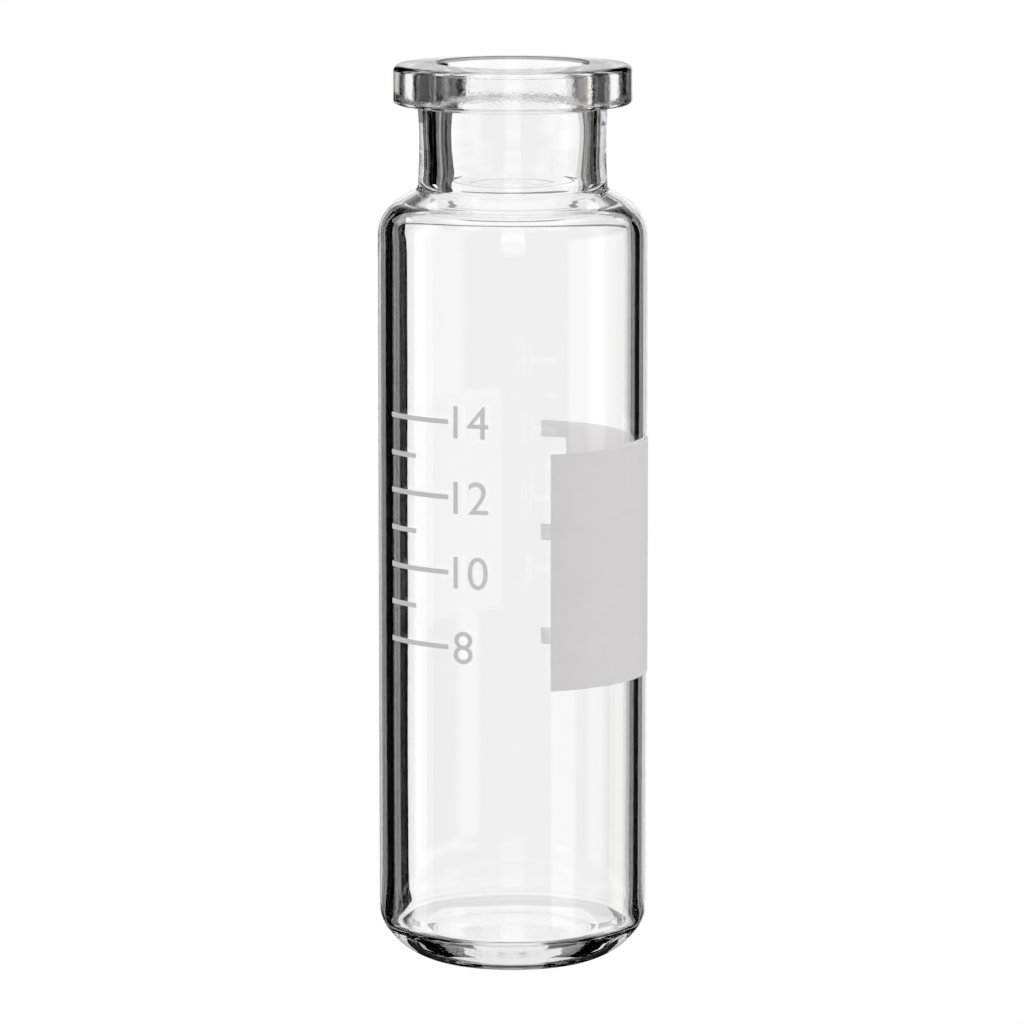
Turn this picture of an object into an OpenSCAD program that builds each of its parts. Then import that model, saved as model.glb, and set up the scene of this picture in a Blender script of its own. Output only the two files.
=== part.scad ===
// Crimp-neck glass sample vial, 20 ml, with a fired white writing patch and a
// fired white graduation on the outside of its wall.
// Millimetres. +Z is up, and the origin is on the axis in the plane of the
// resting ring. The front looks along -Y.
// The vial is one piece of tubing: flame-closed at the base, necked at the top
// and pressed into a flange round its mouth.

/* [Tube] */
// Outside diameter of the body
body_d = 22.5; // [21.5:0.1:26]
// Height from the resting ring to the top of the mouth
total_h = 75.5; // [70:0.5:90]
// Thickness of the tube wall
wall_t = 1.15; // [0.95:0.05:1.3]

/* [Base] */
// How far in from the wall the heel's steep part meets the base plane
heel_in = 2.7; // [2.5:0.05:2.9]
// How far up the wall the heel reaches
heel_up = 3.4; // [3.2:0.05:3.8]
// Radius between heel and wall
heel_wall_r = 3.3; // [2:0.1:3.4]
// Radius round the heel itself
heel_base_r = 6.2; // [4:0.1:6.3]
// How far in from the wall the heel comes down on the base plane
foot_in = 5; // [4.9:0.05:5.4]
// Slope of the heel just outside the resting ring, in degrees
foot_slope = 12; // [10:0.5:13]
// Radius between heel and resting ring
foot_r = 2; // [0.5:0.1:2.4]
// Flat width of the resting ring
ring_w = 0.5; // [0.3:0.05:0.8]
// Height of the shallow dome pushed up in the underside
base_rise = 0.4; // [0.2:0.05:0.9]
// Thickness of the glass in the middle of the floor
floor_t = 2.7; // [2.2:0.1:3.2]
// Inside radius between floor and wall
floor_corner_r = 0.6; // [0.3:0.1:2]

/* [Shoulder] */
// Slope of the shoulder below the horizontal, in degrees
shoulder_slope = 29; // [24:1:34]
// Outside radius between shoulder and wall
shoulder_r = 3.5; // [2.6:0.1:4]
// Outside radius between neck and shoulder
neck_root_r = 0.5; // [0.3:0.05:0.8]
// Inside radius between shoulder and wall
shoulder_inner_r = 2.4; // [1.8:0.1:2.8]
// Inside radius where the bore opens into the shoulder
throat_r = 1.6; // [1:0.1:2]

/* [Neck] */
// Outside diameter of the neck
neck_d = 15.8; // [15.2:0.1:16.2]
// Depth of the waist that the forming wheels leave round the neck
waist_depth = 0.12; // [0.08:0.01:0.18]
// Height of the neck between shoulder and flange
neck_h = 7; // [6:0.1:9]
// Diameter of the bore
bore_d = 12.6; // [12:0.1:13]

/* [Flange] */
// Diameter of the flange
flange_d = 19.85; // [19:0.05:20.4]
// Height of the flange
flange_h = 3.45; // [3:0.05:3.9]
// Radius round the flange's upper edge
flange_top_r = 0.6; // [0.4:0.05:0.8]
// Radius round the flange's lower edge
flange_low_r = 0.35; // [0.2:0.05:0.5]
// Radius between neck and flange
flange_root_r = 0.3; // [0.2:0.05:0.5]
// Fall of the sealing land from the mouth out to the flange's edge
land_fall = 0.2; // [0.1:0.02:0.3]
// Radius round the mouth
mouth_r = 0.42; // [0.3:0.02:0.6]

/* [Writing patch] */
// Height of the patch
patch_h = 19.7; // [16:0.1:24]
// Height of the patch's lower edge above the resting ring
patch_z = 24.5; // [18:0.1:30]
// Turn of the patch's front edge from the front towards the right, in degrees
patch_from = 16; // [5:1:40]
// Arc that the patch covers, in degrees
patch_arc = 138.5; // [90:0.5:160]
// Number of tabs on the patch's far edge
tab_count = 3; // [1:1:4]
// Height of one tab
tab_h = 1.45; // [1:0.05:2.5]
// Distance from one tab to the next
tab_pitch = 8.95; // [4:0.05:9]
// Arc that a tab reaches past the patch, in degrees
tab_arc = 12.5; // [6:0.5:20]

/* [Graduation] */
// Volume at the lowest long line, in millilitres
first_ml = 8; // [6:1:9]
// Volume from one long line to the next, in millilitres
step_ml = 2; // [1:1:2]
// Number of long lines
long_count = 4; // [2:1:4]
// Turn of the lines' starting edge from the front towards the left, in degrees
lines_from = 62; // [50:1:75]
// Arc of a long line, in degrees
long_arc = 34; // [20:1:40]
// Arc of a short line, in degrees
short_arc = 17; // [8:1:18]
// Height of a line
line_h = 0.4; // [0.3:0.05:0.6]

/* [Enamel] */
// Thickness of the fired enamel
enamel_t = 0.05; // [0.04:0.01:0.08]

/* [Hidden] */
$fn = 128;

body_r = body_d / 2;
inner_r = body_r - wall_t;
neck_r = neck_d / 2;
bore_r = bore_d / 2;
flange_r = flange_d / 2;

// Heights of the flange's underside and of the line where the shoulder's cone
// meets the neck.
flange_z = total_h - flange_h;
shoulder_z = flange_z - neck_h;
slope_fall = tan(shoulder_slope);
// The inside of the shoulder keeps the wall's thickness under the cone.
inner_shoulder_z = shoulder_z - wall_t / cos(shoulder_slope);

// Base: a flat floor inside, and a sphere that rises inside the resting ring.
// The heel comes down on the base plane at foot_x, first at the foot's slope and
// further out, from heel_x on, at its own.
heel_fall = heel_up / heel_in;
foot_fall = tan(foot_slope);
foot_x = body_r - foot_in;
heel_x = ((body_r - heel_in) * heel_fall - foot_x * foot_fall) / (heel_fall - foot_fall);
heel_z = (heel_x - foot_x) * foot_fall;
base_dome_edge = foot_x - foot_r * tan(foot_slope / 2) - ring_w;
base_dome_r = (pow(base_dome_edge, 2) + pow(base_rise, 2)) / (2 * base_rise);
floor_z = base_rise + floor_t;
floor_edge = inner_r - floor_corner_r;

// Waist: the circle that bites waist_depth into the neck between its two roots.
waist_low = shoulder_z + neck_root_r;
waist_high = flange_z - flange_root_r;
waist_r = (pow((waist_high - waist_low) / 2, 2) + pow(waist_depth, 2)) / (2 * waist_depth);

// The graduation stands where each volume fills the vial: the straight bore's
// area, less what the rounded corner of the floor takes up.
mm3_per_ml = 1000;
bore_area = PI * pow(inner_r, 2);
corner_loss = bore_area * floor_corner_r - PI * floor_corner_r
    * (pow(floor_edge, 2) + floor_edge * floor_corner_r * PI / 2 + pow(floor_corner_r, 2) * 2 / 3);
function fill_z(ml) = floor_z + (mm3_per_ml * ml + corner_loss) / bore_area;

// Height above the mouth to which the space inside is cut.
clear_z = total_h + wall_t;

// Corners of an outline are [x, z, r]: a point and the radius that rounds it.
// Each outline runs anticlockwise.
outside = [
    [0, 0, 0],
    [foot_x, 0, foot_r],
    [heel_x, heel_z, heel_base_r],
    [body_r, heel_up, heel_wall_r],
    [body_r, shoulder_z - (body_r - neck_r) * slope_fall, shoulder_r],
    [neck_r, shoulder_z, neck_root_r],
    [neck_r, flange_z, flange_root_r],
    [flange_r, flange_z, flange_low_r],
    [flange_r, total_h - land_fall, flange_top_r],
    [bore_r, total_h, 0],
    [0, total_h, 0]
];
inside = [
    [0, floor_z, 0],
    [inner_r, floor_z, floor_corner_r],
    [inner_r, inner_shoulder_z - (inner_r - neck_r) * slope_fall, shoulder_inner_r],
    [bore_r, inner_shoulder_z + (neck_r - bore_r) * slope_fall, throat_r],
    [bore_r, clear_z, 0],
    [0, clear_z, 0]
];

// The corner where the bore meets the land, as the outline of the glass has it.
mouth = [[bore_r, flange_z, 0], [bore_r, total_h, mouth_r], [flange_r, total_h - land_fall, 0]];

function point(corner) = [corner[0], corner[1]];
function unit(v) = v / norm(v);
function before(corners, i) = point(corners[(i + len(corners) - 1) % len(corners)]);
function after(corners, i) = point(corners[(i + 1) % len(corners)]);
// Positive where the outline turns left at corner i, so that it bulges there.
function turn(corners, i) = cross(point(corners[i]) - before(corners, i), after(corners, i) - point(corners[i]));

// The sliver between corner i and the circle that rounds it.
module sliver(corners, i) {
    corner = point(corners[i]);
    r = corners[i][2];
    u = unit(before(corners, i) - corner);
    v = unit(after(corners, i) - corner);
    half = acos(u * v) / 2;
    centre = corner + unit(u + v) * r / sin(half);
    difference() {
        polygon([corner, corner + u * r / tan(half), centre, corner + v * r / tan(half)]);
        translate(centre) circle(r);
    }
}

// The outline through the corners, each rounded by its own radius.
module rounded_outline(corners) {
    difference() {
        union() {
            polygon([for (corner = corners) point(corner)]);
            for (i = [0 : len(corners) - 1])
                if (corners[i][2] > 0 && turn(corners, i) < 0) sliver(corners, i);
        }
        for (i = [0 : len(corners) - 1])
            if (corners[i][2] > 0 && turn(corners, i) > 0) sliver(corners, i);
    }
}

// What the waist takes off the neck.
module waist() {
    intersection() {
        translate([0, waist_low]) square([body_r, waist_high - waist_low]);
        translate([neck_r - waist_depth + waist_r, (waist_low + waist_high) / 2]) circle(waist_r);
    }
}

// Half section of the glass; the mouth is rounded where bore and land meet.
module section() {
    difference() {
        rounded_outline(outside);
        waist();
        translate([0, base_rise - base_dome_r]) circle(base_dome_r);
        rounded_outline(inside);
        sliver(mouth, 1);
    }
}

// A ring segment arc degrees long from the angle start, counted from the front
// towards the right, between two radii and from z up.
module segment(start, arc, low_r, high_r, z, height) {
    rotate([0, 0, start - 90]) rotate_extrude(angle = arc) translate([low_r, z]) square([high_r - low_r, height]);
}

// A band of enamel on the wall.
module band(start, arc, z, height) {
    segment(start, arc, body_r, body_r + enamel_t, z, height);
}

module vial() {
    color([0.86, 0.92, 0.93, 0.35]) rotate_extrude() section();
}

// One print: past the patch's far edge the notches between the tabs are bare.
// The last notch runs out below the patch.
module write_on_patch() {
    color("white") difference() {
        band(patch_from, patch_arc + tab_arc, patch_z, patch_h);
        for (i = [0 : tab_count - 1]) {
            notch_top = patch_z + patch_h - tab_h - i * tab_pitch;
            notch_h = i < tab_count - 1 ? tab_pitch - tab_h : patch_h;
            segment(patch_from + patch_arc, 2 * tab_arc, inner_r, body_r + wall_t, notch_top - notch_h, notch_h);
        }
    }
}

module graduation() {
    color("white") {
        for (i = [0 : long_count - 1])
            band(-lines_from, long_arc, fill_z(first_ml + i * step_ml) - line_h / 2, line_h);
        for (i = [0 : long_count - 2])
            band(-lines_from, short_arc, fill_z(first_ml + (i + 0.5) * step_ml) - line_h / 2, line_h);
    }
}

vial();
write_on_patch();
graduation();
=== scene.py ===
"""Looks of a crimp-neck glass sample vial: its clear glass, its fired white enamel and the studio round it.

Sizes of the vial are in millimetres, and those of the studio in metres. Meshes are written in metres, in
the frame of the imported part.
"""

from __future__ import annotations

import logging
import math
from dataclasses import dataclass, field
from enum import Enum
from typing import Callable

import bmesh
import bpy
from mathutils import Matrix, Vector, noise

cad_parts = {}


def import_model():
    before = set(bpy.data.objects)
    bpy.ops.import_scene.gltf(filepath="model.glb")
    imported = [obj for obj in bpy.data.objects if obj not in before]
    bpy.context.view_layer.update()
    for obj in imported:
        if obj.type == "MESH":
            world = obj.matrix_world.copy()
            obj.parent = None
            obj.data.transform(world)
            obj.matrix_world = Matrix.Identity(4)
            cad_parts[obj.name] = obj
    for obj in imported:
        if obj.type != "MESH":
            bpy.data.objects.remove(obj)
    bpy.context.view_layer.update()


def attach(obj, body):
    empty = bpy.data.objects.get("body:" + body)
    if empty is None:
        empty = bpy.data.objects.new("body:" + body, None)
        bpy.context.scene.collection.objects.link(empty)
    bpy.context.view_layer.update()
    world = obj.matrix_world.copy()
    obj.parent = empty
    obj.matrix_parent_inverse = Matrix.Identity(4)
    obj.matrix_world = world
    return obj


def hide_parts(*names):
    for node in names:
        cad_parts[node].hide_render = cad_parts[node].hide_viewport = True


LOG = logging.getLogger("vial")
MM = 0.001
ROOT = "root"

Point = tuple[float, float]
Colour = tuple[float, float, float, float]
Place = tuple[float, float, float]
Face = tuple[int, ...]

WHITE: Colour = (1.0, 1.0, 1.0, 1.0)

# Sockets of a mix node that mixes colours: its inputs, and its result.
FACTOR, FIRST, SECOND = 0, 6, 7
MIXED = 2


class Slot(Enum):
    """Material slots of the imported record."""

    GLASS = "glass"
    ENAMEL = "enamel"


def linear(srgb: str) -> Colour:
    """Turn an sRGB hex colour into the linear colour that shaders take.

    Args:
        srgb: six hex digits, such as "f4f4f2".

    Returns:
        The linear red, green and blue, and an alpha of 1.
    """
    channels = [int(srgb[i : i + 2], 16) / 255 for i in (0, 2, 4)]
    r, g, b = (c / 12.92 if c <= 0.04045 else ((c + 0.055) / 1.055) ** 2.4 for c in channels)
    return (r, g, b, 1.0)


def lit(srgb: str, level: float) -> Colour:
    """Linear colour of an sRGB hex colour that is lit to a level."""
    r, g, b, alpha = linear(srgb)
    return (level * r, level * g, level * b, alpha)


def add_node(
    tree: bpy.types.NodeTree, kind: str, links: dict | None = None, **settings: object
) -> bpy.types.Node:
    """Add a node with its settings and what its inputs take.

    Args:
        tree: the node tree that gets the node.
        kind: the node's type name.
        links: input name or index to a plain value or to another node's output.
        settings: attributes of the node itself.

    Returns:
        The new node.
    """
    node = tree.nodes.new(kind)
    for name, value in settings.items():
        setattr(node, name, value)
    for key, value in (links or {}).items():
        if isinstance(value, bpy.types.NodeSocket):
            tree.links.new(value, node.inputs[key])
        else:
            node.inputs[key].default_value = value
    return node


def blank_tree(owner: bpy.types.Material | bpy.types.World) -> bpy.types.NodeTree:
    """Give a new material or world a node tree with nothing in it.

    Args:
        owner: the material or world.

    Returns:
        Its node tree.
    """
    owner.use_nodes = True
    owner.node_tree.nodes.clear()
    return owner.node_tree


def add_object(name: str, data: bpy.types.ID) -> bpy.types.Object:
    """Make an object and link it to the scene.

    Args:
        name: the object's name.
        data: its mesh, text, lamp or camera.

    Returns:
        The new object.
    """
    thing = bpy.data.objects.new(name, data)
    bpy.context.scene.collection.objects.link(thing)
    return thing


# ---- finishes


@dataclass(frozen=True)
class BorosilicateGlass:
    """Clear borosilicate tubing, drawn, flame-formed and pressed.

    It is fire polished, so what shows through it is sharp. Drawing leaves faint upright lines, which make
    the edge bands waver, and pressing leaves a fine peel on the flange, which breaks up its reflections.
    """

    name: str = "borosilicate_glass"
    tint: str = "fdfdfd"
    ior: float = 1.473
    roughness: float = 0.0
    pressed_z: Point = (71.6, 72.3)
    draw_line_mm: float = 1.1
    draw_line_long_mm: float = 46.0
    # The real peel's grain is about 0.1 mm; it is drawn coarser, so that it shows.
    peel_mm: float = 0.26
    draw_depth: float = 0.0005
    formed_depth: float = 0.0004
    pressed_depth: float = 0.008
    peel_detail: float = 3.0
    draw_detail: float = 1.0

    def material(self) -> bpy.types.Material:
        """Build the glass.

        Returns:
            The material.
        """
        mat = bpy.data.materials.new(self.name)
        tree = blank_tree(mat)
        place = add_node(tree, "ShaderNodeTexCoord").outputs["Object"]
        height = add_node(tree, "ShaderNodeSeparateXYZ", {"Vector": place}).outputs["Z"]
        squeeze = (1.0, 1.0, self.draw_line_mm / self.draw_line_long_mm)
        drawn = add_node(tree, "ShaderNodeMapping", {"Vector": place, "Scale": squeeze}).outputs[0]
        grains = ((place, self.peel_mm, self.peel_detail), (drawn, self.draw_line_mm, self.draw_detail))
        noises = [{"Vector": at, "Scale": 1 / (size * MM), "Detail": detail} for at, size, detail in grains]
        peel, lines = (add_node(tree, "ShaderNodeTexNoise", links) for links in noises)
        depth = add_node(
            tree,
            "ShaderNodeMapRange",
            {
                "Value": height,
                "From Min": self.pressed_z[0] * MM,
                "From Max": self.pressed_z[1] * MM,
                "To Min": self.formed_depth * MM,
                "To Max": self.pressed_depth * MM,
            },
            interpolation_type="SMOOTHSTEP",
        )
        pits = add_node(
            tree, "ShaderNodeMath", {0: peel.outputs[0], 1: depth.outputs[0]}, operation="MULTIPLY"
        )
        relief = add_node(
            tree,
            "ShaderNodeMath",
            {0: lines.outputs[0], 1: self.draw_depth * MM, 2: pits.outputs[0]},
            operation="MULTIPLY_ADD",
        )
        bump = add_node(tree, "ShaderNodeBump", {"Height": relief.outputs[0], "Distance": 1.0})
        shader = add_node(
            tree,
            "ShaderNodeBsdfPrincipled",
            {
                "Base Color": linear(self.tint),
                "Roughness": self.roughness,
                "IOR": self.ior,
                "Transmission Weight": 1.0,
                "Normal": bump.outputs[0],
            },
        )
        add_node(tree, "ShaderNodeOutputMaterial", {"Surface": shader.outputs[0]})
        return mat


@dataclass(frozen=True)
class FiredEnamel:
    """White ceramic ink, screen printed on the glass and fired.

    It looks opaque and satin, with soft clouds that are a little greyer where the ink lay thin.
    """

    name: str = "fired_enamel"
    colour: str = "f7f5f6"
    thin_colour: str = "f4f2f3"
    smoothest: float = 0.39
    roughest: float = 0.46
    ior: float = 1.5
    scatter_mm: float = 0.02
    cloud_mm: float = 1.6
    cloud_detail: float = 3.0
    # The fired ink's grain is finer than 0.1 mm; it is drawn coarser, so that it shows.
    grain_mm: float = 0.22
    grain_detail: float = 2.0
    grain_depth: float = 0.004
    # The part of the noise's range that the clouds and the grain are stretched over.
    noise_low: float = 0.3
    noise_high: float = 0.7

    def material(self) -> bpy.types.Material:
        """Build the enamel.

        Returns:
            The material.
        """
        mat = bpy.data.materials.new(self.name)
        tree = blank_tree(mat)
        place = add_node(tree, "ShaderNodeTexCoord").outputs["Object"]
        sizes = ((self.cloud_mm, self.cloud_detail), (self.grain_mm, self.grain_detail))
        noises = [{"Vector": place, "Scale": 1 / (size * MM), "Detail": detail} for size, detail in sizes]
        cloud, grain = (add_node(tree, "ShaderNodeTexNoise", links) for links in noises)
        ends = {"From Min": self.noise_low, "From Max": self.noise_high}
        thin = add_node(tree, "ShaderNodeMapRange", {"Value": cloud.outputs[0], **ends})
        ink = add_node(
            tree,
            "ShaderNodeMix",
            {FACTOR: thin.outputs[0], FIRST: linear(self.colour), SECOND: linear(self.thin_colour)},
            data_type="RGBA",
        )
        satin = add_node(
            tree,
            "ShaderNodeMapRange",
            {"Value": grain.outputs[0], **ends, "To Min": self.smoothest, "To Max": self.roughest},
        )
        bump = add_node(
            tree, "ShaderNodeBump", {"Height": grain.outputs[0], "Distance": self.grain_depth * MM}
        )
        shader = add_node(
            tree,
            "ShaderNodeBsdfPrincipled",
            {
                "Base Color": ink.outputs[MIXED],
                "Roughness": satin.outputs[0],
                "IOR": self.ior,
                "Subsurface Weight": 1.0,
                "Subsurface Radius": (1.0, 1.0, 1.0),
                "Subsurface Scale": self.scatter_mm * MM,
                "Normal": bump.outputs[0],
            },
        )
        add_node(tree, "ShaderNodeOutputMaterial", {"Surface": shader.outputs[0]})
        return mat


# ---- section of the glass


@dataclass(frozen=True)
class Corner:
    """A point of the section and the radius that rounds it."""

    x: float
    z: float
    r: float = 0.0


def spaced(a: Point, b: Point, step: float) -> list[Point]:
    """Divide the way from a to b.

    Args:
        a: where it starts.
        b: where it ends.
        step: the largest distance between points.

    Returns:
        The points from a on, without b.
    """
    count = max(1, math.ceil(math.dist(a, b) / step))
    shares = [i / count for i in range(count)]
    return [(a[0] + (b[0] - a[0]) * share, a[1] + (b[1] - a[1]) * share) for share in shares]


def arc_points(centre: Point, start: Point, end: Point, turn_step: float) -> list[Point]:
    """Points on the shorter arc from start to end.

    Args:
        centre: the arc's centre.
        start: its first point.
        end: its last point.
        turn_step: the largest turn from one point to the next, in degrees.

    Returns:
        The points, with both ends.
    """
    radius = math.dist(centre, start)
    first = math.atan2(start[1] - centre[1], start[0] - centre[0])
    last = math.atan2(end[1] - centre[1], end[0] - centre[0])
    sweep = (last - first + math.pi) % (2 * math.pi) - math.pi
    count = max(2, math.ceil(abs(math.degrees(sweep)) / turn_step))
    angles = [first + sweep * i / count for i in range(count + 1)]
    return [(centre[0] + radius * math.cos(t), centre[1] + radius * math.sin(t)) for t in angles]


def rounded_path(corners: list[Corner], turn_step: float, edge_step: float) -> list[Point]:
    """Follow the corners, each rounded by its own radius.

    Args:
        corners: the path; its first and last corner stay sharp.
        turn_step: the largest turn from one point of an arc to the next, in degrees.
        edge_step: the largest distance between points of a straight stretch.

    Returns:
        The points of the path, with both ends.
    """
    path: list[Point] = []
    here = (corners[0].x, corners[0].z)
    for before, corner, after in zip(corners, corners[1:], corners[2:]):
        at = Vector((corner.x, corner.z))
        u = (Vector((before.x, before.z)) - at).normalized()
        v = (Vector((after.x, after.z)) - at).normalized()
        if corner.r <= 0:
            path += spaced(here, tuple(at), edge_step)
            here = tuple(at)
            continue
        half = u.angle(v) / 2
        start = tuple(at + u * corner.r / math.tan(half))
        end = tuple(at + v * corner.r / math.tan(half))
        centre = tuple(at + (u + v).normalized() * corner.r / math.sin(half))
        path += spaced(here, start, edge_step)
        path += arc_points(centre, start, end, turn_step)[:-1]
        here = end
    last = (corners[-1].x, corners[-1].z)
    return path + spaced(here, last, edge_step) + [last]


def push_up(edge: float, rise: float, melt_r: float, edge_step: float, turn_step: float) -> list[Point]:
    """Follow the underside from the axis out to the resting ring.

    Args:
        edge: radius of the resting ring's inner edge.
        rise: height of the dome in the middle.
        melt_r: radius by which the flame melted the dome into the ring.
        edge_step: the largest distance between points across the dome.
        turn_step: the largest turn from one point of the melt to the next, in degrees.

    Returns:
        The points, from the axis to the ring's inner edge on the base plane.
    """
    radius = (edge**2 + rise**2 - 2 * melt_r * rise) / (2 * rise)
    middle = rise - radius
    reach = math.hypot(edge, melt_r - middle)
    last_x = edge * radius / reach
    last = (last_x, middle + math.sqrt(radius**2 - last_x**2))
    count = math.ceil(last_x / edge_step)
    xs = [last_x * i / count for i in range(count)]
    dome = [(x, middle + math.sqrt(radius**2 - x**2)) for x in xs]
    return dome + arc_points((edge, melt_r), last, (edge, 0.0), turn_step)


def smooth_step(low: float, high: float, value: float) -> float:
    """Rise smoothly from 0 at low to 1 at high."""
    share = min(max((value - low) / (high - low), 0.0), 1.0)
    return share * share * (3 - 2 * share)


@dataclass
class GlassBody:
    """The vial's glass: one piece of tubing, flame-closed, necked and flanged.

    Its outer surface is true. Its inner one is a little uneven, which bends the light into wavering bands.
    """

    body_d: float = 22.5
    total_h: float = 75.5
    wall_t: float = 1.15
    heel_in: float = 2.7
    heel_up: float = 3.4
    heel_wall_r: float = 3.3
    heel_base_r: float = 6.2
    foot_in: float = 5.0
    foot_slope: float = 12.0
    foot_r: float = 2.0
    ring_w: float = 0.5
    ring_melt_r: float = 3.0
    base_rise: float = 0.4
    floor_t: float = 2.7
    floor_corner_r: float = 0.6
    shoulder_slope: float = 29.0
    shoulder_r: float = 3.5
    neck_root_r: float = 0.5
    shoulder_inner_r: float = 2.4
    throat_r: float = 2.4
    neck_d: float = 15.8
    waist_depth: float = 0.12
    neck_h: float = 7.0
    bore_d: float = 12.6
    flange_d: float = 19.85
    flange_h: float = 3.45
    flange_top_r: float = 0.6
    flange_low_r: float = 0.35
    flange_root_r: float = 0.3
    land_fall: float = 0.2
    mouth_r: float = 0.42
    # How far off centre the bore lies, and how much wider it is halfway up the neck and to one side there.
    bore_shift: float = 0.06
    neck_swell: float = 0.09
    neck_swell_side: float = -0.02
    # Unevenness of the inner surface from drawing the tube, forming the neck and closing the base.
    drawn_ripple: float = 0.012
    formed_ripple: float = 0.014
    closed_ripple: float = 0.05
    # How quickly each changes: round the tube, and per millimetre up it.
    change_around: float = 1.3
    closed_change_around: float = 1.6
    drawn_change_up: float = 0.06
    formed_change_up: float = 0.28
    closed_change_up: float = 0.3
    # Where the noise of the formed and of the closed part is read, clear of the drawn one's.
    formed_noise_x: float = 4.0
    closed_noise_x: float = 9.0
    # Heights between which each part sets in or fades, from the floor inside, the foot of the neck or the
    # underside of the flange; and where on the floor it sets in, as a share of its radius.
    closed_end: Point = (1.0, 4.0)
    straight_end: Point = (-6.0, -2.0)
    neck_start: Point = (-2.0, 1.0)
    swell_start: Point = (1.0, 4.5)
    swell_end: Point = (-2.5, 0.5)
    floor_edge: float = 0.7
    # How finely the section is divided: turns in degrees, and lengths.
    arc_step: float = 3.5
    edge_step: float = 1.2
    inner_arc_step: float = 4.0
    inner_edge_step: float = 0.7
    dome_step: float = 0.3
    melt_step: float = 1.5
    segments: int = 220
    # Lengths that differ by less are taken as the same.
    tolerance: float = 0.01
    finish: BorosilicateGlass = field(default_factory=BorosilicateGlass)

    @property
    def body_r(self) -> float:
        """Outside radius of the tube."""
        return self.body_d / 2

    @property
    def inner_r(self) -> float:
        """Inside radius of the tube."""
        return self.body_r - self.wall_t

    @property
    def floor_z(self) -> float:
        """Height of the floor inside."""
        return self.base_rise + self.floor_t

    @property
    def shoulder_z(self) -> float:
        """Height where the shoulder's cone meets the neck."""
        return self.flange_z - self.neck_h

    @property
    def flange_z(self) -> float:
        """Height of the flange's underside."""
        return self.total_h - self.flange_h

    def outside(self) -> list[Point]:
        """Follow the section of the outer surface.

        Returns:
            Its points, from the axis under the base to the bore under the flange's land.
        """
        fall = math.tan(math.radians(self.shoulder_slope))
        body_r, neck_r, flange_r = self.body_r, self.neck_d / 2, self.flange_d / 2
        flange_z = self.flange_z
        heel_fall = self.heel_up / self.heel_in
        foot_fall = math.tan(math.radians(self.foot_slope))
        foot_x = body_r - self.foot_in
        heel_x = ((body_r - self.heel_in) * heel_fall - foot_x * foot_fall) / (heel_fall - foot_fall)
        dome_edge = foot_x - self.foot_r * math.tan(math.radians(self.foot_slope) / 2) - self.ring_w
        path = push_up(dome_edge, self.base_rise, self.ring_melt_r, self.dome_step, self.melt_step)[:-1]
        path += rounded_path(
            [
                Corner(dome_edge, 0),
                Corner(foot_x, 0, self.foot_r),
                Corner(heel_x, (heel_x - foot_x) * foot_fall, self.heel_base_r),
                Corner(body_r, self.heel_up, self.heel_wall_r),
                Corner(body_r, self.shoulder_z - (body_r - neck_r) * fall, self.shoulder_r),
                Corner(neck_r, self.shoulder_z, self.neck_root_r),
                Corner(neck_r, flange_z, self.flange_root_r),
                Corner(flange_r, flange_z, self.flange_low_r),
                Corner(flange_r, self.total_h - self.land_fall, self.flange_top_r),
                Corner(self.bore_d / 2, self.total_h, self.mouth_r),
                Corner(self.bore_d / 2, flange_z),
            ],
            self.arc_step,
            self.edge_step,
        )
        low = self.shoulder_z + self.neck_root_r
        high = flange_z - self.flange_root_r
        waist_r = (((high - low) / 2) ** 2 + self.waist_depth**2) / (2 * self.waist_depth)

        def waisted(point: Point) -> Point:
            """Draw a point of the neck in to the waist.

            Args:
                point: a point of the section.

            Returns:
                Where it lies with the waist formed; a point that isn't on the neck stays.
            """
            x, z = point
            if not (low < z < high and abs(x - neck_r) < self.tolerance):
                return point
            reach = z - (low + high) / 2
            return (neck_r - self.waist_depth + waist_r - math.sqrt(waist_r**2 - reach**2), z)

        return [waisted(p) for p in path]

    def inside(self) -> list[Point]:
        """Follow the section of the inner surface.

        Returns:
            Its points, from the bore under the flange down to the axis on the floor.
        """
        fall = math.tan(math.radians(self.shoulder_slope))
        inner_r, neck_r, bore_r = self.inner_r, self.neck_d / 2, self.bore_d / 2
        cone_z = self.shoulder_z - self.wall_t / math.cos(math.radians(self.shoulder_slope))
        return rounded_path(
            [
                Corner(bore_r, self.flange_z),
                Corner(bore_r, cone_z + (neck_r - bore_r) * fall, self.throat_r),
                Corner(inner_r, cone_z - (inner_r - neck_r) * fall, self.shoulder_inner_r),
                Corner(inner_r, self.floor_z, self.floor_corner_r),
                Corner(0, self.floor_z),
            ],
            self.inner_arc_step,
            self.inner_edge_step,
        )

    def flame_work(self, x: float, z: float, turn: float) -> float:
        """Unevenness of a point of the inner surface, from drawing the tube and forming it in the flame.

        Args:
            x: radius of the point.
            z: height of the point.
            turn: its turn from +X, in radians.

        Returns:
            How far it lies out of true, away from the axis.
        """

        def over(base: float, ends: Point) -> float:
            """Rise smoothly from 0 to 1 between two heights over the base."""
            return smooth_step(base + ends[0], base + ends[1], z)

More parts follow.
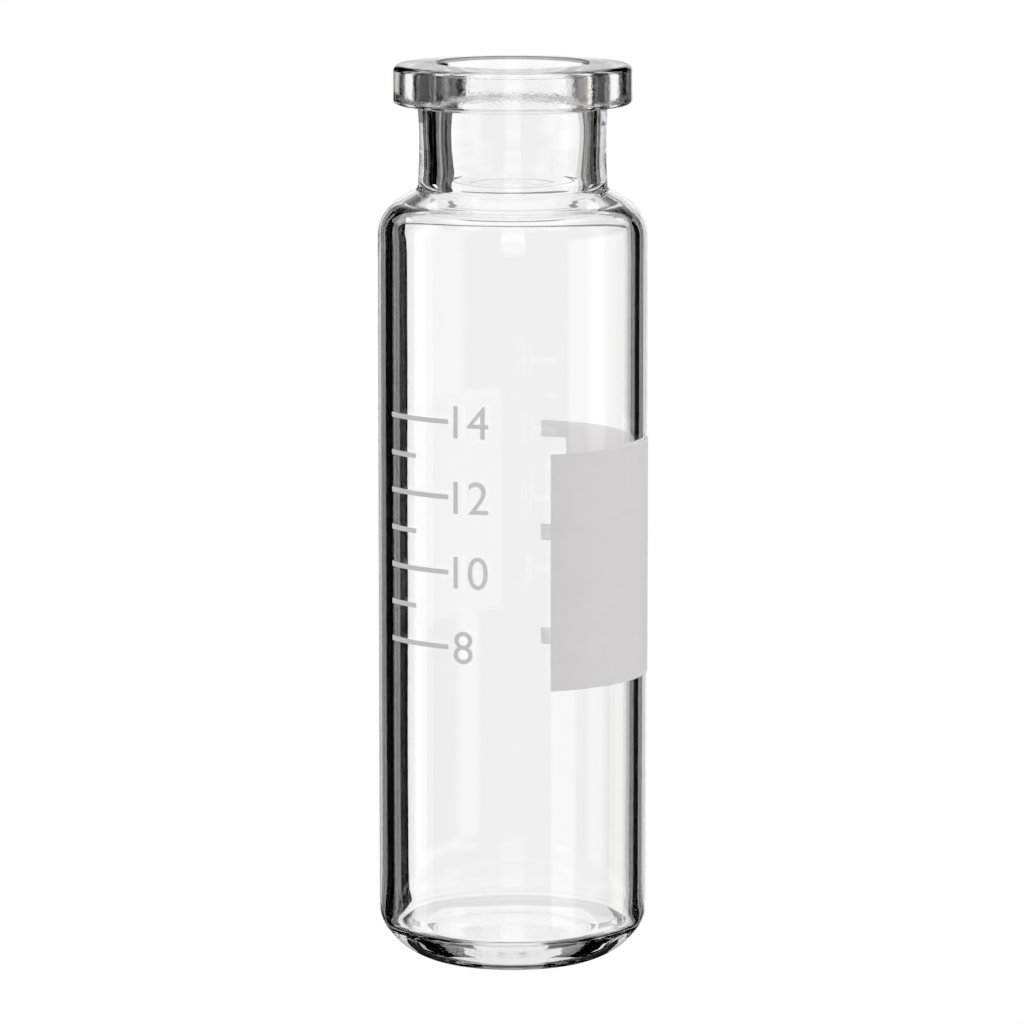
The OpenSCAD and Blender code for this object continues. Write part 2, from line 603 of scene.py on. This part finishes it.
        wall = smooth_step(0.0, self.inner_r, x) * (1 - over(self.shoulder_z, self.straight_end))
        neck = over(self.shoulder_z, self.neck_start)
        low = 1 - over(self.floor_z, self.closed_end)
        edge = smooth_step(self.floor_edge * self.inner_r, self.inner_r, x)
        swell = over(self.shoulder_z, self.swell_start) * (1 - over(self.flange_z, self.swell_end))
        around = Vector((math.cos(turn), math.sin(turn), 0.0)) * self.change_around
        drawn = noise.noise(around + Vector((0, 0, z * self.drawn_change_up)))
        formed_at = Vector((self.formed_noise_x, 0, z * self.formed_change_up))
        formed = noise.noise(around + formed_at)
        closed_at = Vector((self.closed_noise_x, 0, z * self.closed_change_up))
        closed = noise.noise(around * self.closed_change_around + closed_at)
        out = self.bore_shift * math.cos(turn) * wall
        out += self.drawn_ripple * drawn * edge + self.formed_ripple * neck * formed
        out += self.closed_ripple * low * edge * closed
        return out + swell * (self.neck_swell - self.neck_swell_side * math.cos(turn))

    def build(self) -> bpy.types.Object:
        """Revolve the section into the glass and dress it.

        Returns:
            The glass.
        """
        outer, inner = self.outside(), self.inside()[1:]
        section = outer + inner
        first_inner = len(outer)
        verts: list[Place] = [(0.0, 0.0, outer[0][1] * MM)]
        ring_starts = []
        n = self.segments
        for index, (x, z) in enumerate(section[1:-1], start=1):
            ring_starts.append(len(verts))
            for s in range(n):
                turn = 2 * math.pi * s / n
                r = x + self.flame_work(x, z, turn) if index >= first_inner else x
                verts.append((r * math.cos(turn) * MM, r * math.sin(turn) * MM, z * MM))
        verts.append((0.0, 0.0, section[-1][1] * MM))
        faces: list[Face] = []
        for s in range(n):
            faces.append((0, ring_starts[0] + (s + 1) % n, ring_starts[0] + s))
            faces.append((len(verts) - 1, ring_starts[-1] + s, ring_starts[-1] + (s + 1) % n))
        for low, high in zip(ring_starts, ring_starts[1:]):
            for s in range(n):
                t = (s + 1) % n
                faces.append((low + s, low + t, high + t, high + s))
        piece = new_piece("vial_glass", verts, faces, self.finish.material())
        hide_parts("vial")
        return piece


def new_piece(
    name: str, verts: list[Place], faces: list[Face], material: bpy.types.Material
) -> bpy.types.Object:
    """Make a smooth mesh piece that rides on the vial's one body.

    Args:
        name: the piece's name.
        verts: its points, in metres.
        faces: its faces, by point index.
        material: its finish.

    Returns:
        The new object, linked to the scene.
    """
    mesh = bpy.data.meshes.new(name)
    mesh.from_pydata(verts, [], faces)
    mesh.validate()
    mesh.shade_smooth()
    mesh.materials.append(material)
    piece = add_object(name, mesh)
    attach(piece, ROOT)
    return piece


# ---- print

SHARP_TURN = math.radians(30)


@dataclass
class WritingPatch:
    """The white patch that runs round the right side to the back, with its tabs on the far edge."""

    wall_r: float
    height: float = 19.7
    low_z: float = 24.5
    start: float = 16.0
    arc: float = 138.5
    tab_count: int = 3
    tab_h: float = 1.45
    tab_pitch: float = 8.95
    tab_arc: float = 12.5
    thickness: float = 0.05
    gap: float = 0.003
    finish: FiredEnamel = field(default_factory=FiredEnamel)

    def build(self) -> bpy.types.Object:
        """Lay the print on the wall as one thin curved shell.

        Returns:
            The patch with its tabs.
        """
        top = self.low_z + self.height
        edge = self.start + self.arc
        turns = [*turn_breaks(self.start, edge), *turn_breaks(edge, edge + self.tab_arc)[1:]]
        tab_tops = [top - i * self.tab_pitch for i in range(self.tab_count)]
        heights = sorted([self.low_z, *tab_tops, *(tab_top - self.tab_h for tab_top in tab_tops)])

        def printed(i: int, j: int) -> bool:
            """Tell whether column i has ink in row j: all of the patch, and past its edge the tabs."""
            return turns[i] < edge or heights[j + 1] in tab_tops

        verts: list[Place] = []
        faces: list[Face] = []
        radii = (self.wall_r + self.gap, self.wall_r + self.thickness)
        add_shell(verts, faces, radii, turns, heights, printed)
        piece = new_piece("writing_patch", verts, faces, self.finish.material())
        piece.data.set_sharp_from_angle(angle=SHARP_TURN)
        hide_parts("write_on_patch")
        return piece


@dataclass
class Graduation:
    """The plain scale at the left of the patch: long and short lines, and a number at each long one."""

    wall_r: float
    floor_z: float
    bore_r: float
    corner_r: float
    first_ml: int = 8
    step_ml: int = 2
    long_count: int = 4
    lines_from: float = 62.0
    long_arc: float = 34.0
    short_arc: float = 17.0
    line_h: float = 0.4
    number_h: float = 2.7
    number_from: float = -25.5
    thickness: float = 0.05
    gap: float = 0.003
    bend_step: float = 0.25
    mm3_per_ml: float = 1000.0
    # Half the depth that a number is cut out with, in the text's own units, before it is laid flat.
    text_half: float = 0.5
    weld: float = 1e-7
    finish: FiredEnamel = field(default_factory=lambda: FiredEnamel(name="fired_enamel_scale"))

    def fill_z(self, ml: float) -> float:
        """Work out how high a volume fills the vial, with the floor's rounded corner taken off.

        Args:
            ml: the volume, in millilitres.

        Returns:
            The height above the plane that the vial stands on.
        """
        area = math.pi * self.bore_r**2
        edge = self.bore_r - self.corner_r
        ring = edge**2 + edge * self.corner_r * math.pi / 2 + self.corner_r**2 * 2 / 3
        corner_loss = area * self.corner_r - math.pi * self.corner_r * ring
        return self.floor_z + (self.mm3_per_ml * ml + corner_loss) / area

    def lines(self, finish: bpy.types.Material) -> bpy.types.Object:
        """Lay the lines on the wall.

        Args:
            finish: the enamel.

        Returns:
            All the lines, as one piece.
        """
        verts: list[Place] = []
        faces: list[Face] = []
        marks = [(i, self.long_arc) for i in range(self.long_count)]
        marks += [(i + 0.5, self.short_arc) for i in range(self.long_count - 1)]
        for place, arc in marks:
            z = self.fill_z(self.first_ml + place * self.step_ml)
            radii = (self.wall_r + self.gap, self.wall_r + self.thickness)
            turns = turn_breaks(-self.lines_from, arc - self.lines_from)
            add_shell(verts, faces, radii, turns, [z - self.line_h / 2, z + self.line_h / 2])
        piece = new_piece("scale_lines", verts, faces, finish)
        piece.data.set_sharp_from_angle(angle=SHARP_TURN)
        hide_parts("graduation")
        return piece

    def number(self, ml: int, finish: bpy.types.Material) -> bpy.types.Object:
        """Print one number, flat at first and then bent on the wall.

        Args:
            ml: the number.
            finish: the enamel.

        Returns:
            The number, with its middle level with its line.
        """
        text = bpy.data.curves.new(f"number_{ml}", "FONT")
        text.body = str(ml)
        text.align_y = "CENTER"
        text.extrude = self.text_half
        flat = add_object(text.name, text)
        depsgraph = bpy.context.evaluated_depsgraph_get()
        mesh = bpy.data.meshes.new_from_object(flat.evaluated_get(depsgraph))
        bpy.data.objects.remove(flat)
        xs = [v.co.x for v in mesh.vertices]
        ys = [v.co.y for v in mesh.vertices]
        size = self.number_h / (max(ys) - min(ys))
        width = (max(xs) - min(xs)) * size
        left, middle = min(xs), (min(ys) + max(ys)) / 2
        bm = bmesh.new()
        bm.from_mesh(mesh)
        for v in bm.verts:
            v.co = Vector(((v.co.x - left) * size, (v.co.y - middle) * size, v.co.z + self.text_half))
        for cut in range(1, math.ceil(width / self.bend_step)):
            geom = [*bm.verts, *bm.edges, *bm.faces]
            at = (cut * self.bend_step, 0, 0)
            bmesh.ops.bisect_plane(bm, geom=geom, plane_co=at, plane_no=(1, 0, 0))
        for v in bm.verts:
            turn = math.radians(self.number_from) + v.co.x / self.wall_r
            r = self.wall_r + self.gap + v.co.z / (2 * self.text_half) * (self.thickness - self.gap)
            v.co = Vector((r * math.sin(turn), -r * math.cos(turn), self.fill_z(ml) + v.co.y)) * MM
        bmesh.ops.remove_doubles(bm, verts=bm.verts, dist=self.weld)
        bmesh.ops.recalc_face_normals(bm, faces=bm.faces)
        verts = [tuple(v.co) for v in bm.verts]
        bm.verts.index_update()
        faces = [tuple(v.index for v in f.verts) for f in bm.faces]
        bm.free()
        piece = new_piece(f"scale_number_{ml}", verts, faces, finish)
        piece.data.shade_flat()
        return piece

    def build(self) -> list[bpy.types.Object]:
        """Print the whole scale.

        Returns:
            The lines, and then the numbers from the lowest up.
        """
        finish = self.finish.material()
        numbers = [self.first_ml + i * self.step_ml for i in range(self.long_count)]
        return [self.lines(finish), *(self.number(ml, finish) for ml in numbers)]


def turn_breaks(start: float, end: float, step: float = 1.0) -> list[float]:
    """Turns from start to end, with both, no further apart than step, in degrees from the front."""
    count = math.ceil((end - start) / step)
    return [start + (end - start) * i / count for i in range(count)] + [end]


def add_shell(
    verts: list[Place],
    faces: list[Face],
    radii: Point,
    turns: list[float],
    heights: list[float],
    filled: Callable[[int, int], bool] = lambda i, j: True,
) -> None:
    """Append a curved plate that fills cells of a grid on the wall.

    Args:
        verts: the points so far, in metres.
        faces: the faces so far.
        radii: the plate's inner and outer radius.
        turns: where the grid's columns part, in degrees from the front.
        heights: where its rows part.
        filled: tells for a column and a row whether the plate fills that cell.
    """
    known: dict[tuple[int, int, int], int] = {}

    def corner(side: int, i: int, j: int) -> int:
        """Give a point of the plate, made when it is first asked for.

        Args:
            side: 0 for the inner side, 1 for the outer one.
            i: the break between columns that it lies at.
            j: the break between rows that it lies at.

        Returns:
            Its index.
        """
        if (side, i, j) not in known:
            known[side, i, j] = len(verts)
            turn, r = math.radians(turns[i]), radii[side] * MM
            verts.append((r * math.sin(turn), -r * math.cos(turn), heights[j] * MM))
        return known[side, i, j]

    columns, rows = range(len(turns) - 1), range(len(heights) - 1)
    cells = {(i, j) for i in columns for j in rows if filled(i, j)}
    for i, j in sorted(cells):
        around = [(i, j), (i + 1, j), (i + 1, j + 1), (i, j + 1)]
        beside = [(i, j - 1), (i + 1, j), (i, j + 1), (i - 1, j)]
        faces.append(tuple(corner(1, *at) for at in around))
        faces.append(tuple(corner(0, *at) for at in reversed(around)))
        for k, cell in enumerate(beside):
            if cell not in cells:
                here, there = around[k], around[(k + 1) % len(around)]
                faces.append((corner(1, *there), corner(1, *here), corner(0, *here), corner(0, *there)))


# ---- studio


@dataclass(frozen=True)
class PrintLight:
    """Soft light of the room on the enamel.

    The boards are dark or bright only for what the glass bends and mirrors. What the enamel scatters gets
    the same light from all sides: one level outside the vial, and one for light that came in through it.
    """

    outside: float = 0.52
    outside_tint: str = "fffefe"
    through_glass: float = 2.45
    through_tint: str = "fffefe"
    # Numbers of glass surfaces passed: none is outside, and three or more is through the tube's walls.
    into_glass: float = 0.5
    through_walls: float = 2.5

    def shade(self, tree: bpy.types.NodeTree, walls: Colour, solid: Colour) -> bpy.types.NodeSocket:
        """Colour that a board or the room sends out.

        Args:
            tree: the node tree of its material.
            walls: what shows of it through the two walls of the tube.
            solid: what shows of it through solid glass, as at the mouth and the heel, and in its surface.

        Returns:
            The colour: the room's light where it falls on the enamel, and otherwise what the glass shows.
        """
        path = add_node(tree, "ShaderNodeLightPath").outputs
        passed = path["Transmission Depth"]
        inside = add_node(tree, "ShaderNodeMath", {0: passed, 1: self.into_glass}, operation="GREATER_THAN")
        room_links = {
            FACTOR: inside.outputs[0],
            FIRST: lit(self.outside_tint, self.outside),
            SECOND: lit(self.through_tint, self.through_glass),
        }
        room = add_node(tree, "ShaderNodeMix", room_links, data_type="RGBA")
        glossy = {0: path["Is Glossy Ray"], 1: path["Is Singular Ray"]}
        satin = add_node(tree, "ShaderNodeMath", glossy, operation="SUBTRACT")
        scattered = {0: satin.outputs[0], 1: path["Diffuse Depth"]}
        from_print = add_node(tree, "ShaderNodeMath", scattered, operation="MAXIMUM")
        few = add_node(tree, "ShaderNodeMath", {0: passed, 1: self.through_walls}, operation="LESS_THAN")
        seen_links = {FACTOR: few.outputs[0], FIRST: walls, SECOND: solid}
        seen = add_node(tree, "ShaderNodeMix", seen_links, data_type="RGBA")
        links = {FACTOR: from_print.outputs[0], FIRST: seen.outputs[MIXED], SECOND: room.outputs[MIXED]}
        return add_node(tree, "ShaderNodeMix", links, data_type="RGBA").outputs[MIXED]


ROOM_LIGHT = PrintLight()


@dataclass(frozen=True)
class Shine:
    """How bright a board looks through the tube's walls, and through solid glass where that differs."""

    walls: float
    solid: float | None = None
    tint: str = "ffffff"

    def colours(self) -> tuple[Colour, Colour]:
        """Work out what the glass shows of the board.

        Returns:
            Its colour through the walls, and through solid glass.
        """
        solid = self.walls if self.solid is None else self.solid
        return lit(self.tint, self.walls), lit(self.tint, solid)


def add_lit_surface(name: str, verts: list[Place], faces: list[Face], shine: Shine) -> bpy.types.Object:
    """Stand an even, lit or dark surface in the set; the camera sees it only through and in the glass.

    Args:
        name: the surface's name.
        verts: its points, in metres.
        faces: its faces, by point index.
        shine: what the glass shows of it.

    Returns:
        The new object.
    """
    mat = bpy.data.materials.new(f"lit_{name}")
    tree = blank_tree(mat)
    colour = ROOM_LIGHT.shade(tree, *shine.colours())
    shader = add_node(tree, "ShaderNodeEmission", {"Color": colour, "Strength": 1.0})
    add_node(tree, "ShaderNodeOutputMaterial", {"Surface": shader.outputs[0]})
    mat.cycles.emission_sampling = "NONE"
    mesh = bpy.data.meshes.new(name)
    mesh.from_pydata(verts, [], faces)
    mesh.materials.append(mat)
    surface = add_object(name, mesh)
    surface.visible_camera = False
    surface.visible_diffuse = False
    surface.visible_shadow = False
    return surface


def grid_faces(across: int, up: int) -> list[Face]:
    """Join the points of a grid that runs across first."""
    corners = [j * (across + 1) + i for j in range(up) for i in range(across)]
    return [(a, a + 1, a + across + 2, a + across + 1) for a in corners]


@dataclass(frozen=True)
class Board:
    """A board round the set: a lit screen, a reflector or a black flag, which the glass bends and mirrors.

    It stands between two turns and two rises as the vial's middle sees it, in degrees; left and up count
    positive.
    """

    name: str
    shine: Shine
    turns: Point
    rises: Point
    layer: int = 1
    distance: float = 3.0
    spacing: float = 0.04
    facet: float = 3.0
    middle_z: float = 0.035

    def direction(self, turn: float, rise: float) -> Vector:
        """Direction of a turn and a rise."""
        t, e = math.radians(turn), math.radians(rise)
        return Vector((-math.sin(t) * math.cos(e), math.cos(t) * math.cos(e), math.sin(e)))

    def build(self) -> bpy.types.Object:
        """Bend the board round the vial; a higher layer stands nearer, in front of the others.

        Returns:
            The board.
        """
        (first_turn, last_turn), (first_rise, last_rise) = self.turns, self.rises
        across = max(1, math.ceil((last_turn - first_turn) / self.facet))
        up = max(1, math.ceil((last_rise - first_rise) / self.facet))
        radius = self.distance - self.spacing * self.layer
        middle = Vector((0, 0, self.middle_z))
        verts = []
        for j in range(up + 1):
            for i in range(across + 1):
                turn = first_turn + (last_turn - first_turn) * i / across
                rise = first_rise + (last_rise - first_rise) * j / up
                verts.append(tuple(self.direction(turn, rise) * radius + middle))
        return add_lit_surface(self.name, verts, grid_faces(across, up), self.shine)


@dataclass(frozen=True)
class TableSpot:
    """A part of the table close to the base: light that the vial throws under itself, or the shade by it.

    It lies between two distances from the axis in millimetres, and between two turns in degrees.
    """

    name: str
    shine: Shine
    turns: Point
    reaches: Point = (6.7, 16.0)
    level: float = -0.05
    facet: float = 4.0

    def build(self) -> bpy.types.Object:
        """Lay the spot just under the plane that the vial stands on.

        Returns:
            The spot.
        """
        first, last = self.turns
        across = math.ceil((last - first) / self.facet)
        verts = []
        for r in self.reaches:
            for i in range(across + 1):
                turn = math.radians(first + (last - first) * i / across)
                verts.append((-r * math.sin(turn) * MM, r * math.cos(turn) * MM, self.level * MM))
        return add_lit_surface(self.name, verts, grid_faces(across, 1), self.shine)


@dataclass
class Surroundings:
    """Bright-field light: lit screens behind the glass, black flags beside them and a pale table under it.

    Screens stand on each side, so that the glass looks clear with dark edges from there too. All turns and
    rises are in degrees.
    """

    # Lower and upper edge of the level boards, and where the high boards and the walls end.
    low: float = -14.0
    high: float = 14.0
    top: float = 33.0
    ceiling: float = 50.0
    # Screens on the table at the sides and in front: where their middles stand, and half their width.
    side_turns: tuple[float, ...] = (90.0, 135.0, 180.0, 225.0, 270.0)
    half: float = 11.0

    def level(self) -> list[Board]:
        """Set out the boards level with the vial, which its walls bend into view.

        Returns:
            The screen behind, with the seam between its halves, and the reflectors beside it.
        """
        low, high = self.low, self.high
        return [
            Board("screen_back", Shine(1.04), turns=(-15.5, 12.2), rises=(low, high)),
            Board("screen_back_edge", Shine(0.72), turns=(-20.5, -15.5), rises=(low, high)),
            Board("seam_back", Shine(0.3), turns=(-15.5, 12.2), rises=(3, 4.8), layer=2),
            Board("reflector_left", Shine(0.24), turns=(24, 28.5), rises=(low, high)),
            Board("reflector_left_inner", Shine(0.13), turns=(18, 20), rises=(low, high)),
            Board("reflector_right", Shine(0.28), turns=(-32, -28), rises=(low, high)),
            Board("reflector_right_inner", Shine(0.18), turns=(-26.5, -23.5), rises=(low, high)),
            Board("reflector_right_far", Shine(0.13), turns=(-54, -50.5), rises=(low, high)),
            Board("reflector_left_far", Shine(0.27), turns=(62, 67), rises=(low, high)),
            Board("reflector_left_mid", Shine(0.14), turns=(53, 58), rises=(low, high)),
        ]

    def above_and_below(self) -> list[Board]:
        """Set out the boards over and under the level ones, which shoulder, flange and base bend into view.

        Returns:
            The upper screens and flags, and the far part of the table with its lamps.
        """
        low, high, top = self.low, self.high, self.top
        return [
            Board("screen_high", Shine(0.88), turns=(-13.5, 12.2), rises=(high, top)),
            Board("screen_high_left", Shine(0.12), turns=(12.2, 18), rises=(high, top)),
            Board("screen_high_far_left", Shine(0.04), turns=(18, 26), rises=(high, top)),
            Board("screen_high_right", Shine(0.12), turns=(-20, -13.5), rises=(high, top)),
            Board("screen_high_far_right", Shine(0.04), turns=(-26, -20), rises=(high, top)),
            Board("seam_high_left", Shine(0.35), turns=(8.5, 12.2), rises=(12.5, 16), layer=2),
            Board("seam_high_right", Shine(0.4), turns=(-13.5, -8.5), rises=(12.5, 16), layer=2),
            Board("ceiling_back", Shine(0.95), turns=(-33, 33), rises=(top, self.ceiling)),
            Board("flag_high_left", Shine(0.003), turns=(34, 60), rises=(40, 62)),
            Board("flag_high_right", Shine(0.003), turns=(-60, -34), rises=(40, 62)),
            Board("lamp_quarter_left", Shine(1.2), turns=(41, 51), rises=(15, 31)),
            Board("lamp_quarter_right", Shine(0.8), turns=(-49, -41), rises=(15, 30)),
            Board("table_back", Shine(0.86, 0.12), turns=(-26, 26), rises=(-58, -18.5)),
            Board("table_back_bright", Shine(1.05, 0.45), turns=(-11.5, 11.5), rises=(-38.5, -18.5), layer=2),
            Board("table_back_far", Shine(0.98, 0.45), turns=(-17, 12), rises=(-18.5, low)),
            Board("table_lamp_left", Shine(1.0), turns=(57, 76), rises=(-29.5, -17)),
            Board("table_lamp_right", Shine(1.0), turns=(-76, -57), rises=(-29.5, -17)),
        ]

    def table_spots(self) -> list[TableSpot]:
        """Set out the table under and beside the base.

        Returns:
            The lit spot inside the resting ring, and the shade outside it.
        """
        return [
            TableSpot("under_ring", Shine(1.0), turns=(-180, 180), reaches=(0.01, 6.7)),
            TableSpot("shade_left", Shine(0.01), turns=(74, 160)),
            TableSpot("shade_front", Shine(0.4), turns=(160, 200)),
            TableSpot("shade_right", Shine(0.01), turns=(-160, -74)),
        ]

    def round_about(self) -> list[Board]:
        """Set out the dark room, and the screens and lamps at the sides and in front.

        Returns:
            The room's walls, ceiling and table, and then what stands in it.
        """
        low, high, half = self.low, self.high, self.half
        boards = [
            Board("walls", Shine(0.003), turns=(-180, 180), rises=(low, self.ceiling), layer=0),
            Board("ceiling", Shine(0.9), turns=(-180, 180), rises=(self.ceiling, 90), layer=0),
            Board("table", Shine(0.05), turns=(-180, 180), rises=(-60, low), layer=0),
            Board("table_near", Shine(0.75), turns=(-180, 180), rises=(-90, -60), layer=0),
            Board("lamp_right", Shine(1.0, tint="fff9f3"), turns=(-81, -62), rises=(low, high)),
            Board("lamp_right_high", Shine(1.05), turns=(-130, -81), rises=(-9, high)),
            Board("screen_left", Shine(1.05), turns=(78, 90 + half), rises=(low, 40)),
            Board("screen_front", Shine(0.9), turns=(180 - half, 180 + half), rises=(-5, 40)),
            Board("screen_quarter", Shine(1.0), turns=(-135 - half, -135 + half), rises=(-22, -8), layer=2),
        ]
        for index, middle in enumerate(self.side_turns, start=2):
            turns = (middle - half, middle + half)
            boards.append(Board(f"table_screen_{index}", Shine(1.0), turns=turns, rises=(-38, low)))
        for side, turns in (("left", (34, 50)), ("right", (-50, -34))):
            boards.append(Board(f"table_screen_{side}", Shine(0.95, 0.03), turns=turns, rises=(-33, -16)))
        return boards

    def build(self) -> None:
        """Stand the boards round the vial and make the world that lights its print."""
        for board in [*self.round_about(), *self.level(), *self.above_and_below(), *self.table_spots()]:
            board.build()
        world = bpy.data.worlds.new("studio")
        bpy.context.scene.world = world
        tree = blank_tree(world)
        shade = ROOM_LIGHT.shade(tree, *Shine(0.0).colours())
        seen = add_node(tree, "ShaderNodeLightPath").outputs["Is Camera Ray"]
        links = {FACTOR: seen, FIRST: shade, SECOND: WHITE}
        paper = add_node(tree, "ShaderNodeMix", links, data_type="RGBA").outputs[MIXED]
        light = add_node(tree, "ShaderNodeBackground", {"Color": paper, "Strength": 1.0})
        add_node(tree, "ShaderNodeOutputWorld", {"Surface": light.outputs[0]})


@dataclass(frozen=True)
class Softbox:
    """A lamp behind a diffuser, which shades the print from one side.

    Its turn, to the left from the screen's middle, and its spread as the vial sees it are in degrees.
    """

    name: str
    turn: float
    spread: float
    radiance: float
    colour: str = "ffffff"
    distance: float = 0.45
    height: float = 0.7
    middle_z: float = 0.03

    def build(self) -> bpy.types.Object:
        """Hang the lamp level with the vial, facing it.

        Returns:
            The lamp, which only the enamel sees.
        """
        width = 2 * self.distance * math.tan(math.radians(self.spread / 2))
        lamp = bpy.data.lights.new(self.name, "AREA")
        lamp.shape = "RECTANGLE"
        lamp.size, lamp.size_y = width, self.height
        lamp.color = linear(self.colour)[:3]
        lamp.energy = self.radiance * math.pi * width * self.height
        box = add_object(self.name, lamp)
        turn = math.radians(self.turn)
        box.location = (-self.distance * math.sin(turn), self.distance * math.cos(turn), self.middle_z)
        aim = Vector((0, 0, self.middle_z))
        box.rotation_euler = (aim - box.location).to_track_quat("-Z", "Y").to_euler()
        box.visible_camera = False
        box.visible_transmission = False
        box.visible_glossy = False
        return box


@dataclass
class Studio:
    """The table, the white paper behind, the lights and the camera."""

    camera_distance: float = 0.520
    camera_height: float = 0.1168
    aim_height: float = 0.0378
    camera_side: float = -0.00006
    lens: float = 221.0
    sensor: float = 36.0
    clip_near: float = 0.01
    clip_far: float = 50.0
    paper_reach: float = 4.0
    # Enough for light that runs round inside the flange and the heel.
    glass_bounces: int = 24
    mirror_bounces: int = 16
    print_bounces: int = 6
    # Deepens the darkest greys, as on a contrasty print, and leaves the rest alone.
    tone_curve: tuple[Point, ...] = (
        (0.012, 0.0015),
        (0.028, 0.006),
        (0.06, 0.04),
        (0.12, 0.115),
        (0.3, 0.3),
        (0.6, 0.6),
    )

    def paper(self) -> None:
        """Lay plain white paper under the vial; the glass itself sees the screens and flags."""
        mat = bpy.data.materials.new("white_paper")
        tree = blank_tree(mat)
        shade = add_node(tree, "ShaderNodeEmission", {"Color": WHITE, "Strength": 1.0})
        add_node(tree, "ShaderNodeOutputMaterial", {"Surface": shade.outputs[0]})
        mesh = bpy.data.meshes.new("paper")
        s = self.paper_reach
        corners = [(-s, -s, 0.0), (s, -s, 0.0), (s, s, 0.0), (-s, s, 0.0)]
        mesh.from_pydata(corners, [], [(0, 1, 2, 3)])
        mesh.materials.append(mat)
        piece = add_object(mesh.name, mesh)
        piece.visible_diffuse = False
        piece.visible_glossy = False
        piece.visible_transmission = False
        piece.visible_shadow = False

    def camera(self) -> None:
        """Stand the camera in front, a little above the mouth, aimed at the vial's middle."""
        data = bpy.data.cameras.new("camera")
        data.lens = self.lens
        data.sensor_width = self.sensor
        data.clip_start, data.clip_end = self.clip_near, self.clip_far
        cam = add_object("camera", data)
        cam.location = (self.camera_side, -self.camera_distance, self.camera_height)
        aim = Vector((self.camera_side, 0, self.aim_height))
        cam.rotation_euler = (aim - cam.location).to_track_quat("-Z", "Y").to_euler()
        bpy.context.scene.camera = cam

    def build(self) -> None:
        """Set up light, floor, camera and the way the picture is developed."""
        Surroundings().build()
        Softbox("softbox_left", turn=150.0, spread=30.0, radiance=0.25, colour="ffe6da").build()
        Softbox("softbox_right", turn=-115.5, spread=41.0, radiance=0.72).build()
        self.paper()
        self.camera()
        scene = bpy.context.scene
        scene.view_settings.view_transform = "Standard"
        scene.view_settings.use_curve_mapping = True
        mapping = scene.view_settings.curve_mapping
        *_, combined = mapping.curves
        for level, shown in self.tone_curve:
            combined.points.new(level, shown)
        mapping.update()
        scene.cycles.max_bounces = self.glass_bounces
        scene.cycles.transmission_bounces = self.glass_bounces
        scene.cycles.glossy_bounces = self.mirror_bounces
        scene.cycles.diffuse_bounces = self.print_bounces
        scene.cycles.use_denoising = True


def main() -> None:
    """Build the vial's pieces in order and put the studio round them."""
    logging.basicConfig(level=logging.INFO, format="%(name)s: %(message)s")
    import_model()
    glass = GlassBody()
    patch = WritingPatch(wall_r=glass.body_r)
    scale = Graduation(
        wall_r=glass.body_r, floor_z=glass.floor_z, bore_r=glass.inner_r, corner_r=glass.floor_corner_r
    )
    for piece in [glass.build(), patch.build(), *scale.build()]:
        LOG.info("%s: %d faces", piece.name, len(piece.data.polygons))
    Studio().build()


if __name__ == "__main__":
    main()
